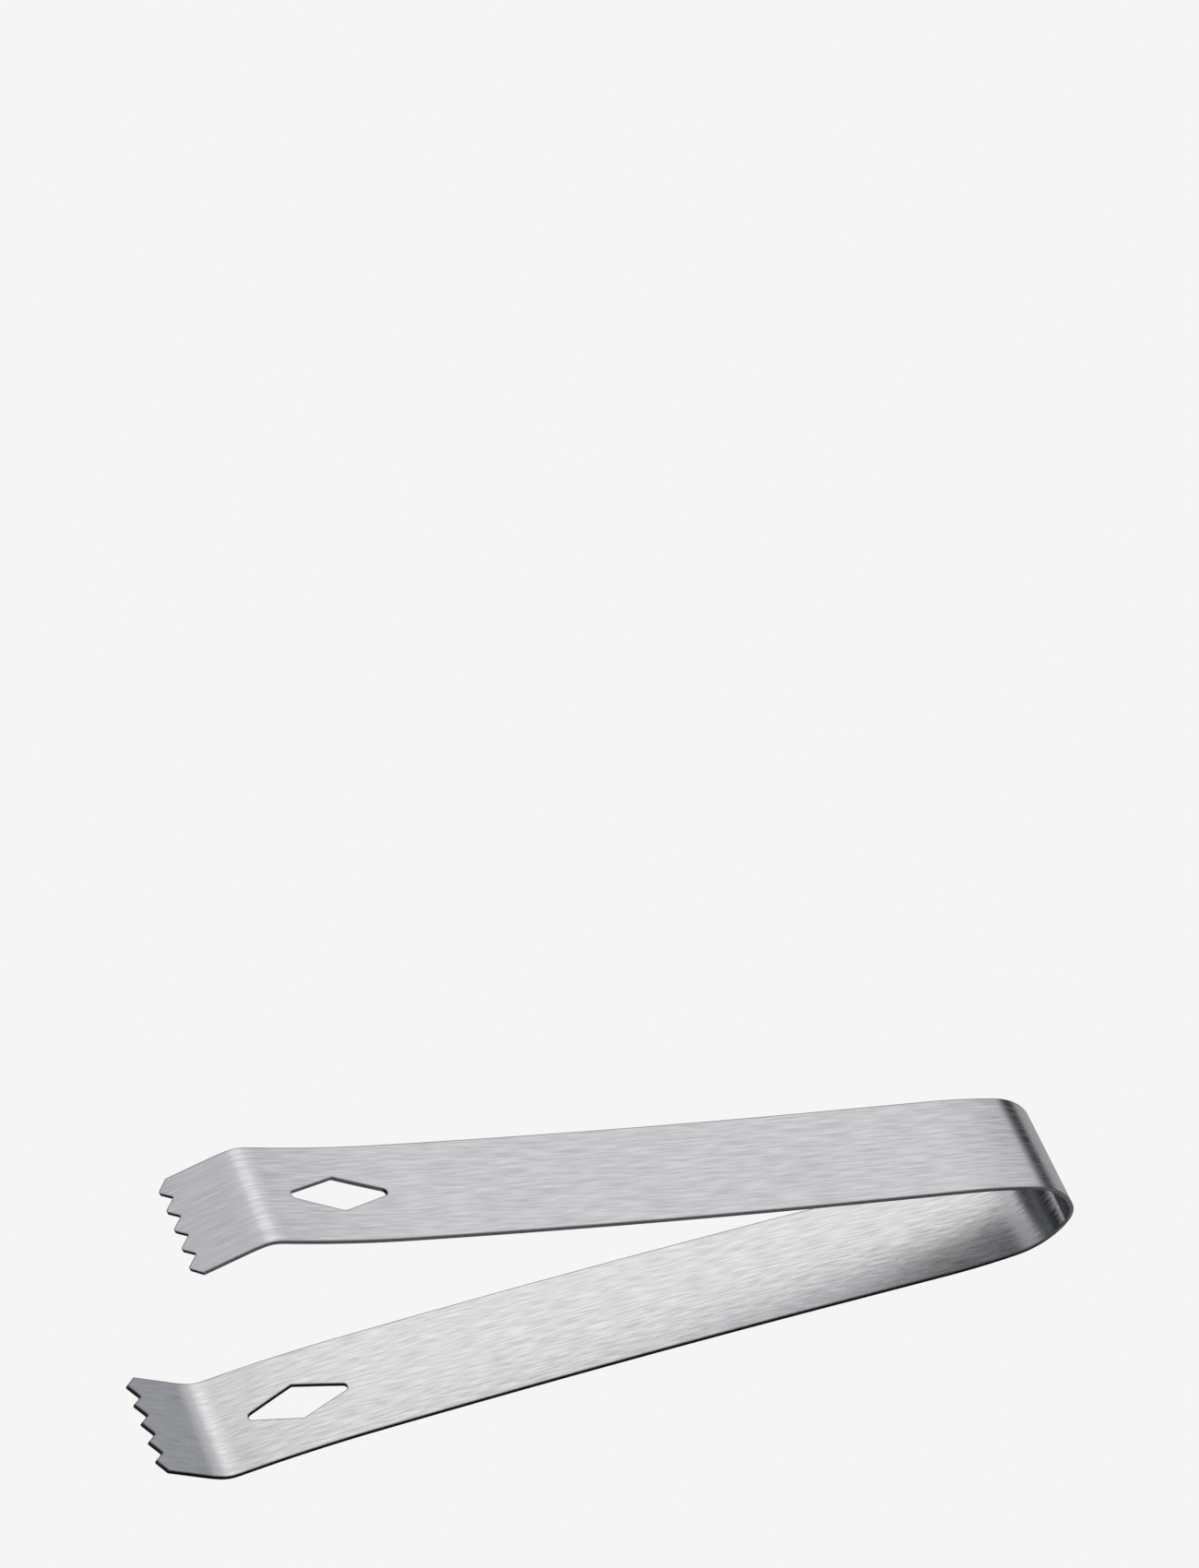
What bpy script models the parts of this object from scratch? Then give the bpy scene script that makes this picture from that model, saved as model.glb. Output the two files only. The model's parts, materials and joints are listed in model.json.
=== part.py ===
"""Ice tongs, bent from one strip of spring steel.

The strip is blanked flat, with a diamond-shaped hole near each end and a row of
teeth across it. It is then bent round the bow, which is the spring, and each end
is turned inwards as a claw. The two arms are mirror images about the middle plane.

The tongs lie on the outside of their lower arm: the floor is z = 0, the bow is at
+X, the claws are at -X, and the width of the strip runs along Y.

The strip is divided at the two places where it flexes, so that the arms can close.
Sizes are in millimetres and degrees. Blender's own units are metres.
"""

import math

import bmesh
import bpy
from mathutils import Matrix, Vector

MM = 0.001

# The strip
STRIP_WIDTH = 20.0
STRIP_THICKNESS = 0.8

# The bow, from the middle of its nose outwards: each arc turns towards the arm
NOSE_RADIUS = 4.9
NOSE_ANGLE = 23.8
SHOULDER_RADIUS = 11.5
SHOULDER_ANGLE = 52.1
HEEL_RADIUS = 98.0
HEEL_ANGLE = 7.4

# The arm, from the bow to its claw: straight, then spreading gently outwards
NECK_LENGTH = 19.2
SHANK_RADIUS = 1740.0
SHANK_ANGLE = 2.7
FLARE_RADIUS = 211.0
FLARE_ANGLE = 6.7

# The claw: a bend inwards and a flat end with teeth
CLAW_BEND_RADIUS = 4.2
CLAW_BEND_ANGLE = 41.4
CLAW_LENGTH = 11.65
TOOTH_COUNT = 5
TOOTH_DEPTH = 1.75

# The diamond-shaped hole, on the strip's centre line
DIAMOND_LENGTH = 20.5
DIAMOND_WIDTH = 7.15
DIAMOND_CORNER_RADIUS = 0.8
DIAMOND_TO_CLAW_BEND = 14.3

# Where the strip is divided so that it can flex
FLEX_FROM_NOSE = 30.0
FLEX_GAP = 0.3

# How finely the round stretches are faceted
TURN_PER_FACET = 5.0
LONGEST_FACET = 14.0
CORNER_FACETS = 3


class Stretch:
    """A length of the strip's middle line with one curvature, straight or an arc."""

    def __init__(self, length, turn=0.0):
        """Keep the length in mm and the turn outwards in degrees (inwards is less than 0)."""
        self.length = length
        self.turn = math.radians(turn)

    def point(self, start, heading, along):
        """Return the point and the heading at a distance along the stretch."""
        curvature = self.turn / self.length
        end_heading = heading + curvature * along
        if abs(curvature * along) < 1e-9:
            step = (math.cos(heading) * along, math.sin(heading) * along)
        else:
            step = (
                (math.sin(end_heading) - math.sin(heading)) / curvature,
                (math.cos(heading) - math.cos(end_heading)) / curvature,
            )
        return (start[0] + step[0], start[1] + step[1]), end_heading


def arc(radius, turn):
    """Return a stretch of the given radius that turns by the given angle."""
    return Stretch(radius * math.radians(abs(turn)), turn)


# One half of the strip, from the nose of the bow to the tips of the teeth
CLAW_BEND = arc(CLAW_BEND_RADIUS, -CLAW_BEND_ANGLE)
CLAW = Stretch(CLAW_LENGTH)
HALF_STRIP = (
    arc(NOSE_RADIUS, -NOSE_ANGLE),
    arc(SHOULDER_RADIUS, -SHOULDER_ANGLE),
    arc(HEEL_RADIUS, -HEEL_ANGLE),
    Stretch(NECK_LENGTH),
    arc(SHANK_RADIUS, SHANK_ANGLE),
    arc(FLARE_RADIUS, FLARE_ANGLE),
    CLAW_BEND,
    CLAW,
)
HALF_LENGTH = sum(stretch.length for stretch in HALF_STRIP)
CLAW_BEND_START = HALF_LENGTH - CLAW.length - CLAW_BEND.length
DIAMOND_CENTRE = CLAW_BEND_START - DIAMOND_TO_CLAW_BEND


def bent_place(along, across, above):
    """Return where a point of the flat strip goes when the strip is bent.

    along runs from the nose, positive into the upper arm and negative into the
    lower one. across is along the width. above is out of the strip's middle
    surface, positive on the outside of the tongs. The width changes sign, so that
    the bent strip isn't turned inside out.
    """
    side = 1.0 if along >= 0.0 else -1.0
    left = abs(along)
    place = (0.0, 0.0)
    heading = math.pi / 2.0
    for stretch in HALF_STRIP:
        step = min(left, stretch.length)
        place, heading = stretch.point(place, heading, step)
        left -= step
        if left <= 0.0:
            break
    back = place[0] - above * math.sin(heading)
    up = place[1] + above * math.cos(heading)
    return Vector((-back, -across, side * up))


def stations():
    """Return the distances from the nose where the bent strip changes facet."""
    marks = [0.0]
    for stretch in HALF_STRIP:
        by_turn = math.degrees(abs(stretch.turn)) / TURN_PER_FACET
        by_length = stretch.length / LONGEST_FACET if stretch.turn else 0.0
        facets = max(1, math.ceil(max(by_turn, by_length)))
        start = marks[-1]
        marks += [start + stretch.length * (i + 1) / facets for i in range(facets)]
    return marks


def rounded(corners, radius):
    """Return a closed outline with each corner replaced by an arc of the radius."""
    points = []
    for i, corner in enumerate(corners):
        before = (corners[i - 1] - corner).normalized()
        after = (corners[(i + 1) % len(corners)] - corner).normalized()
        half = before.angle(after) / 2.0
        centre = corner + (before + after).normalized() * radius / math.sin(half)
        first = corner + before * radius / math.tan(half) - centre
        sweep = math.pi - 2.0 * half
        way = 1.0 if first.cross(corner - centre) > 0.0 else -1.0
        for j in range(CORNER_FACETS + 1):
            turn = Matrix.Rotation(way * sweep * j / CORNER_FACETS, 2)
            points.append(centre + turn @ first)
    return points


def diamond_outline():
    """Return the outline of the hole in the flat strip."""
    return rounded(
        [
            Vector((DIAMOND_CENTRE - DIAMOND_LENGTH / 2.0, 0.0)),
            Vector((DIAMOND_CENTRE, -DIAMOND_WIDTH / 2.0)),
            Vector((DIAMOND_CENTRE + DIAMOND_LENGTH / 2.0, 0.0)),
            Vector((DIAMOND_CENTRE, DIAMOND_WIDTH / 2.0)),
        ],
        DIAMOND_CORNER_RADIUS,
    )


def arm_outline():
    """Return the outline of one arm's flat blank, with the teeth at its far end."""
    root = FLEX_FROM_NOSE + FLEX_GAP / 2.0
    half_pitch = STRIP_WIDTH / (2 * TOOTH_COUNT)
    teeth = []
    for i in range(2 * TOOTH_COUNT + 1):
        depth = 0.0 if i % 2 else TOOTH_DEPTH
        teeth.append(Vector((HALF_LENGTH - depth, i * half_pitch - STRIP_WIDTH / 2.0)))
    return [
        Vector((root, STRIP_WIDTH / 2.0)),
        Vector((root, -STRIP_WIDTH / 2.0)),
    ] + teeth


def bow_outline():
    """Return the outline of the bow's flat blank."""
    end = FLEX_FROM_NOSE - FLEX_GAP / 2.0
    half = STRIP_WIDTH / 2.0
    return [Vector((-end, -half)), Vector((end, -half)), Vector((end, half)), Vector((-end, half))]


def add_loop(mesh, outline, side):
    """Add a closed flat outline to the mesh, and return its edges."""
    corners = [mesh.verts.new((side * p.x, p.y, 0.0)) for p in outline]
    return [mesh.edges.new((corners[i - 1], corners[i])) for i in range(len(corners))]


def flat_blank(outlines, side=1.0):
    """Return the flat strip cut to its outlines, as thick as the steel.

    The outlines lie along the upper arm, and side is -1 to make the lower one.
    """
    mesh = bmesh.new()
    edges = []
    for outline in outlines:
        edges += add_loop(mesh, outline, side)
    bmesh.ops.triangle_fill(mesh, use_beauty=True, use_dissolve=False, edges=edges)
    bmesh.ops.translate(mesh, verts=mesh.verts, vec=(0.0, 0.0, -STRIP_THICKNESS / 2.0))
    sheet = bmesh.ops.extrude_face_region(mesh, geom=mesh.faces[:])
    raised = [item for item in sheet["geom"] if isinstance(item, bmesh.types.BMVert)]
    bmesh.ops.translate(mesh, verts=raised, vec=(0.0, 0.0, STRIP_THICKNESS))
    bmesh.ops.recalc_face_normals(mesh, faces=mesh.faces[:])
    return mesh


def score(mesh, marks):
    """Cut the flat strip across at each mark, where it will bend."""
    for mark in marks:
        bmesh.ops.bisect_plane(
            mesh,
            geom=mesh.verts[:] + mesh.edges[:] + mesh.faces[:],
            dist=1e-5,
            plane_co=(mark, 0.0, 0.0),
            plane_no=(1.0, 0.0, 0.0),
        )


def bend(mesh):
    """Bend the scored strip to its profile."""
    for vertex in mesh.verts:
        vertex.co = bent_place(*vertex.co)


def arm_mesh(side):
    """Return one bent arm with its hole, its claw and its teeth."""
    mesh = flat_blank([arm_outline(), diamond_outline()], side)
    score(mesh, [side * mark for mark in stations() + [DIAMOND_CENTRE]])
    bend(mesh)
    return mesh


def bow_mesh():
    """Return the bent bow."""
    mesh = flat_blank([bow_outline()])
    score(mesh, [-mark for mark in stations()[1:]] + stations())
    bend(mesh)
    return mesh


def resting_place(meshes):
    """Return the turn and shift that lay the tongs down on their lower arm.

    The lower outline touches the floor twice, under the bow and under the bend of
    the claw. Each round turns the line between those two lowest points level.
    """
    points = [vertex.co.copy() for mesh in meshes for vertex in mesh.verts]
    middle = (min(p.x for p in points) + max(p.x for p in points)) / 2.0
    bow_side = [p for p in points if p.x > middle]
    claw_side = [p for p in points if p.x <= middle]
    tilt = Matrix.Identity(4)
    for _ in range(6):
        heel = min((tilt @ p for p in bow_side), key=lambda p: p.z)
        knuckle = min((tilt @ p for p in claw_side), key=lambda p: p.z)
        slope = math.atan2(heel.z - knuckle.z, heel.x - knuckle.x)
        tilt = Matrix.Rotation(slope, 4, "Y") @ tilt
    laid = [tilt @ p for p in points]
    low = min(p.z for p in laid)
    centre = (min(p.x for p in laid) + max(p.x for p in laid)) / 2.0
    return Matrix.Translation((-centre, 0.0, -low)) @ tilt


def brushed_steel():
    """Return the material of the strip."""
    material = bpy.data.materials.new("brushed_steel")
    material.use_nodes = True
    shader = material.node_tree.nodes["Principled BSDF"]
    shader.inputs["Base Color"].default_value = (0.60, 0.60, 0.62, 1.0)
    shader.inputs["Metallic"].default_value = 1.0
    shader.inputs["Roughness"].default_value = 0.32
    return material


def place(name, mesh, laid, origin):
    """Make an object of a bent piece, laid down, with its origin on its flexing line."""
    mesh.transform(laid)
    mesh.transform(Matrix.Translation(-origin))
    mesh.transform(Matrix.Scale(MM, 4))
    data = bpy.data.meshes.new(name)
    mesh.to_mesh(data)
    mesh.free()
    data.shade_smooth()
    data.set_sharp_from_angle(angle=math.radians(30.0))
    piece = bpy.data.objects.new(name, data)
    piece.location = origin * MM
    piece.data.materials.append(brushed_steel())
    bpy.context.scene.collection.objects.link(piece)
    return piece


def main():
    """Clear the scene and build the tongs."""
    for old in list(bpy.data.objects):
        bpy.data.objects.remove(old, do_unlink=True)
    lower_arm = arm_mesh(-1.0)
    bow = bow_mesh()
    upper_arm = arm_mesh(1.0)
    laid = resting_place([lower_arm, bow, upper_arm])
    lower_flex = laid @ bent_place(-FLEX_FROM_NOSE, 0.0, 0.0)
    upper_flex = laid @ bent_place(FLEX_FROM_NOSE, 0.0, 0.0)
    place("lower_arm", lower_arm, laid, Vector((0.0, 0.0, 0.0)))
    place("bow", bow, laid, lower_flex)
    place("upper_arm", upper_arm, laid, upper_flex)


if __name__ == "__main__":
    main()
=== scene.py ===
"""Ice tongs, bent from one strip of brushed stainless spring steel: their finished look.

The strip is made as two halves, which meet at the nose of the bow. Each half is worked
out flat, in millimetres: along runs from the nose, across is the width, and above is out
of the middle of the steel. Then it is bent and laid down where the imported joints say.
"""

import json
import logging
import math
from dataclasses import dataclass, field
from enum import Enum

import bmesh
import bpy
import numpy as np
from mathutils import Matrix, Vector


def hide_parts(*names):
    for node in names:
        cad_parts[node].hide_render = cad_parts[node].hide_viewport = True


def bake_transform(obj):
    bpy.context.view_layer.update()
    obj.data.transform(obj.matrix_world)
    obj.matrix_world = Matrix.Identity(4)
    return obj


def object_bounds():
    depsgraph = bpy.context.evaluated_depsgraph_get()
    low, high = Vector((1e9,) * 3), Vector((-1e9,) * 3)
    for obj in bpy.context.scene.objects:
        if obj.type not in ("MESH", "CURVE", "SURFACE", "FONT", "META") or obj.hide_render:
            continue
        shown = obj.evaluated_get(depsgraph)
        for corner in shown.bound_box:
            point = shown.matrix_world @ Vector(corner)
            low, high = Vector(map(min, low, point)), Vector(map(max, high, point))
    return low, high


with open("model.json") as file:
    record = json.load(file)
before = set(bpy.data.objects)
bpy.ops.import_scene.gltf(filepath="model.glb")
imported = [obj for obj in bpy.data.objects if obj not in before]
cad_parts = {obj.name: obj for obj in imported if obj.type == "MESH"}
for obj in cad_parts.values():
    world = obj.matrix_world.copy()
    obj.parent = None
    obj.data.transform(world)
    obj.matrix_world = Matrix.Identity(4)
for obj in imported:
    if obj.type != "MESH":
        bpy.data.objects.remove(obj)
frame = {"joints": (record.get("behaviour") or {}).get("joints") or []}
CAD_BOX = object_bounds()

MM = 0.001
LEFT_END, RIGHT_END = CAD_BOX[0].x, CAD_BOX[1].x
STRIP_MAP = "strip"

log = logging.getLogger("ice_tongs")


class Side(Enum):
    """Which half of the strip, by its sign: the side of the tongs' middle plane."""

    UPPER = 1.0
    LOWER = -1.0


class Finish(Enum):
    """Which finish a face of the mesh has, by its material slot."""

    OUTSIDE = 0
    INSIDE = 1
    CUT = 2


class Layer(Enum):
    """A layer of noise in the brushed finish, by a shift that makes it unlike the others."""

    SCRATCHES = 0.0
    DRIFT = 3.7
    SLOPES = 17.0
    BANDS = 31.0


class Operation(Enum):
    """What combine() does with its two values."""

    SUM = "ADD"
    PRODUCT = "MULTIPLY"
    LARGER = "MAXIMUM"


class Axis(Enum):
    """A level axis of the floor, by its place among a point's coordinates."""

    X = 0
    Y = 1


def linear(code: str) -> tuple[float, float, float, float]:
    """Turn an sRGB colour code into linear light.

    Args:
        code: the colour as #RRGGBB.

    Returns:
        Red, green, blue and an alpha of 1.
    """
    parts = np.array([int(code[i : i + 2], 16) for i in (1, 3, 5)]) / 255.0
    light = np.where(parts <= 0.04045, parts / 12.92, ((parts + 0.055) / 1.055) ** 2.4)
    return (*light.tolist(), 1.0)


def add_node(
    tree: bpy.types.NodeTree,
    kind: str,
    settings: dict[str | int, object] | None = None,
    links: dict[str | int, bpy.types.NodeSocket] | None = None,
) -> bpy.types.Node:
    """Add a node to a tree.

    Args:
        tree: the node tree.
        kind: the node's type.
        settings: values of the node's own properties, or of its inputs by name or number.
        links: what each input is linked to, by name or number.

    Returns:
        The node.
    """
    node = tree.nodes.new(kind)
    for key, value in (settings or {}).items():
        if isinstance(key, str) and hasattr(node, key):
            setattr(node, key, value)
        else:
            node.inputs[key].default_value = value
    for key, socket in (links or {}).items():
        tree.links.new(socket, node.inputs[key])
    return node


def combine(
    tree: bpy.types.NodeTree,
    operation: Operation,
    first: bpy.types.NodeSocket,
    second: bpy.types.NodeSocket | float,
) -> bpy.types.NodeSocket:
    """Combine two values.

    Args:
        tree: the node tree.
        operation: what is done with them.
        first: the first value.
        second: the second value, or a fixed number.

    Returns:
        The result.
    """
    settings: dict[str | int, object] = {"operation": operation.value}
    links: dict[str | int, bpy.types.NodeSocket] = {0: first}
    if isinstance(second, bpy.types.NodeSocket):
        links[1] = second
    else:
        settings[1] = second
    return add_node(tree, "ShaderNodeMath", settings, links).outputs[0]


def soft_step(
    tree: bpy.types.NodeTree,
    value: bpy.types.NodeSocket,
    start: float,
    end: float,
    height: float = 1.0,
) -> bpy.types.NodeSocket:
    """Step softly from one value to another.

    Args:
        tree: the node tree.
        value: what the step goes by.
        start: where the step is still 0.
        end: where it is full.
        height: how high it is there.

    Returns:
        The step.
    """
    step = add_node(
        tree,
        "ShaderNodeMapRange",
        {"interpolation_type": "SMOOTHSTEP", 1: start, 2: end, 4: height},
        {0: value},
    )
    return step.outputs[0]


# ---------------------------------------------------------------------------
# Finishes
# ---------------------------------------------------------------------------


@dataclass(frozen=True)
class BrushedStainless:
    """Austenitic stainless sheet, brushed along the strip with an abrasive belt.

    The belt leaves fine parallel scratches. They spread a reflection across the strip
    and keep it sharper along it, and they show as short streaks of light and dark.
    Real scratches are a few hundredths of a millimetre wide, too fine to show at this
    size, so they are drawn about ten times coarser. Widths and lengths are in mm.
    """

    name: str
    bright: str = "#CFCFD4"
    dull: str = "#BDBDC3"
    roughness: float = 0.28
    roughness_change: float = 0.05
    anisotropy: float = 0.5
    scratch_width: float = 0.36
    scratch_length: float = 6.0
    slope_width_ratio: float = 1.3
    slope_length_ratio: float = 0.7
    band_width: float = 0.9
    band_length: float = 22.0
    band_share: float = 0.25
    noise_span: tuple[float, float] = (0.3, 0.7)
    detail: float = 1.5
    wander: float = 0.25
    wander_width: float = 4.0
    wander_length: float = 12.0
    tilt_across: float = 0.012
    tilt_along: float = 0.01

    def streaks(
        self,
        tree: bpy.types.NodeTree,
        place: bpy.types.NodeSocket,
        width: float,
        length: float,
        layer: Layer,
    ) -> bpy.types.NodeSocket:
        """Draw a noise stretched along the strip.

        Args:
            tree: the material's node tree.
            place: across and along the strip, in metres.
            width: the width of a streak in mm.
            length: its length in mm.
            layer: which layer the streaks are.

        Returns:
            A value from 0 to 1, about 0.5.
        """
        scale = (1.0 / (width * MM), 1.0 / (length * MM), 1.0)
        shift = (layer.value, layer.value, 0.0)
        scaled = add_node(
            tree, "ShaderNodeMapping", {"Scale": scale, "Location": shift}, {"Vector": place}
        )
        noise = add_node(
            tree,
            "ShaderNodeTexNoise",
            {"noise_dimensions": "2D", "Scale": 1.0, "Detail": self.detail},
            {"Vector": scaled.outputs[0]},
        )
        return noise.outputs[0]

    def wandering_place(self, tree: bpy.types.NodeTree) -> bpy.types.NodeSocket:
        """Push the place on the strip a little sideways, so that scratches wander.

        Args:
            tree: the material's node tree.

        Returns:
            The place across and along the strip, in metres.
        """
        place = add_node(tree, "ShaderNodeUVMap", {"uv_map": STRIP_MAP}).outputs[0]
        drift = self.streaks(tree, place, self.wander_width, self.wander_length, Layer.DRIFT)
        sideways = add_node(
            tree,
            "ShaderNodeMapRange",
            {3: -self.wander * MM, 4: self.wander * MM},
            {0: drift},
        )
        push = add_node(tree, "ShaderNodeCombineXYZ", links={0: sideways.outputs[0]})
        moved = add_node(
            tree,
            "ShaderNodeVectorMath",
            {"operation": "ADD"},
            {0: place, 1: push.outputs[0]},
        )
        return moved.outputs[0]

    def scratched_normal(
        self, tree: bpy.types.NodeTree, fine: bpy.types.NodeSocket, long: bpy.types.NodeSocket
    ) -> bpy.types.NodeSocket:
        """Tilt the normal with the scratches.

        A normal map's red is the tilt across the strip and its green the tilt along it,
        each 0.5 where the surface is true.

        Args:
            tree: the material's node tree.
            fine: the layer of streaks that tilts across.
            long: the layer that tilts along.

        Returns:
            The normal.
        """
        across = add_node(
            tree,
            "ShaderNodeMapRange",
            {3: 0.5 - self.tilt_across, 4: 0.5 + self.tilt_across},
            {0: fine},
        )
        along = add_node(
            tree,
            "ShaderNodeMapRange",
            {3: 0.5 - self.tilt_along, 4: 0.5 + self.tilt_along},
            {0: long},
        )
        colour = add_node(
            tree,
            "ShaderNodeCombineColor",
            {2: 1.0},
            {0: across.outputs[0], 1: along.outputs[0]},
        )
        normal = add_node(
            tree,
            "ShaderNodeNormalMap",
            {"space": "TANGENT", "uv_map": STRIP_MAP},
            {"Color": colour.outputs[0]},
        )
        return normal.outputs[0]

    def material(self) -> bpy.types.Material:
        """Make the material.

        Returns:
            The material.
        """
        material = bpy.data.materials.new(self.name)
        material.use_nodes = True
        tree = material.node_tree
        shader = tree.nodes["Principled BSDF"]
        place = self.wandering_place(tree)
        low, high = self.noise_span
        scratches = self.streaks(
            tree, place, self.scratch_width, self.scratch_length, Layer.SCRATCHES
        )
        slopes = self.streaks(
            tree,
            place,
            self.scratch_width * self.slope_width_ratio,
            self.scratch_length * self.slope_length_ratio,
            Layer.SLOPES,
        )
        bands = self.streaks(tree, place, self.band_width, self.band_length, Layer.BANDS)
        tone = add_node(
            tree,
            "ShaderNodeMix",
            {"data_type": "FLOAT", "Factor": self.band_share},
            {2: scratches, 3: bands},
        )
        contrast = add_node(tree, "ShaderNodeMapRange", {1: low, 2: high}, {0: tone.outputs[0]})
        colour = add_node(
            tree,
            "ShaderNodeMix",
            {"data_type": "RGBA", 6: linear(self.dull), 7: linear(self.bright)},
            {"Factor": contrast.outputs[0]},
        )
        polish = add_node(
            tree,
            "ShaderNodeMapRange",
            {
                1: low,
                2: high,
                3: self.roughness + self.roughness_change,
                4: self.roughness - self.roughness_change,
            },
            {0: scratches},
        )
        tangent = add_node(
            tree, "ShaderNodeTangent", {"direction_type": "UV_MAP", "uv_map": STRIP_MAP}
        )
        shader.inputs["Metallic"].default_value = 1.0
        shader.inputs["Anisotropic"].default_value = self.anisotropy
        tree.links.new(colour.outputs[2], shader.inputs["Base Color"])
        tree.links.new(polish.outputs[0], shader.inputs["Roughness"])
        tree.links.new(tangent.outputs[0], shader.inputs["Tangent"])
        tree.links.new(self.scratched_normal(tree, slopes, scratches), shader.inputs["Normal"])
        return material


@dataclass(frozen=True)
class ShearedStainless:
    """The cut edge of the sheet: sheared in a blanking press, then tumbled smooth.

    The punch leaves faint marks through the burnished wall, and tumbling rounds its corners,
    which catch the light. The wall's colours are painted darker than the brushed faces:
    painted shade on the cut edges, for the dark that the walls reflect.
    """

    name: str = "sheared_edge_painted_shade"
    # Both colours are far darker than the steel of the faces: painted shade on the cut edges.
    bright: str = "#A8A8AC"
    dull: str = "#7C7C80"
    roughness: float = 0.24
    mark_width: float = 0.35
    mark_height: float = 2.0
    detail: float = 2.0

    def material(self) -> bpy.types.Material:
        """Make the material.

        Returns:
            The material.
        """
        material = bpy.data.materials.new(self.name)
        material.use_nodes = True
        tree = material.node_tree
        shader = tree.nodes["Principled BSDF"]
        place = add_node(tree, "ShaderNodeUVMap", {"uv_map": STRIP_MAP}).outputs[0]
        scaled = add_node(
            tree,
            "ShaderNodeMapping",
            {"Scale": (1.0 / (self.mark_height * MM), 1.0 / (self.mark_width * MM), 1.0)},
            {"Vector": place},
        )
        marks = add_node(
            tree,
            "ShaderNodeTexNoise",
            {"noise_dimensions": "2D", "Scale": 1.0, "Detail": self.detail},
            {"Vector": scaled.outputs[0]},
        )
        colour = add_node(
            tree,
            "ShaderNodeMix",
            {"data_type": "RGBA", 6: linear(self.dull), 7: linear(self.bright)},
            {"Factor": marks.outputs[0]},
        )
        shader.inputs["Metallic"].default_value = 1.0
        shader.inputs["Roughness"].default_value = self.roughness
        tree.links.new(colour.outputs[2], shader.inputs["Base Color"])
        return material


# ---------------------------------------------------------------------------
# The flat strip and its cuts
# ---------------------------------------------------------------------------


@dataclass(frozen=True)
class Outline:
    """Points of a cut in the flat strip, with the way out of the steel at each."""

    points: np.ndarray
    normals: np.ndarray

    def inset(self, depth: np.ndarray | float) -> np.ndarray:
        """Return the points moved into the steel by a depth in mm."""
        return self.points - np.asarray(depth)[..., None] * self.normals

    def run(self) -> np.ndarray:
        """Return each point's distance along the cut in mm."""
        steps = np.linalg.norm(np.diff(self.points, axis=0), axis=1)
        return np.concatenate(([0.0], np.cumsum(steps)))


@dataclass(frozen=True)
class CutEdge:
    """How the steel's edge is rounded where it was cut, in mm."""

    radius: float = 0.05
    margin: float = 0.2
    facets: int = 4

    def profile(self, thickness: float) -> tuple[np.ndarray, np.ndarray]:
        """Return the edge's cross-section, from one broad face to the other.

        It is a short flat, a quarter circle, the straight wall and the same again,
        mirrored. The angle of the quarter circle runs from 0 at the face to 90 degrees.

        Args:
            thickness: the strip's thickness.

        Returns:
            The depth into the steel and the height above its middle, at each point.
        """
        angle = np.linspace(0.0, math.pi / 2.0, self.facets + 1)
        depth = np.concatenate(([self.margin], self.radius * (1.0 - np.sin(angle))))
        height = np.concatenate(([0.0], self.radius * (np.cos(angle) - 1.0))) + thickness / 2.0
        return np.concatenate((depth, depth[::-1])), np.concatenate((height, -height[::-1]))


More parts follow.
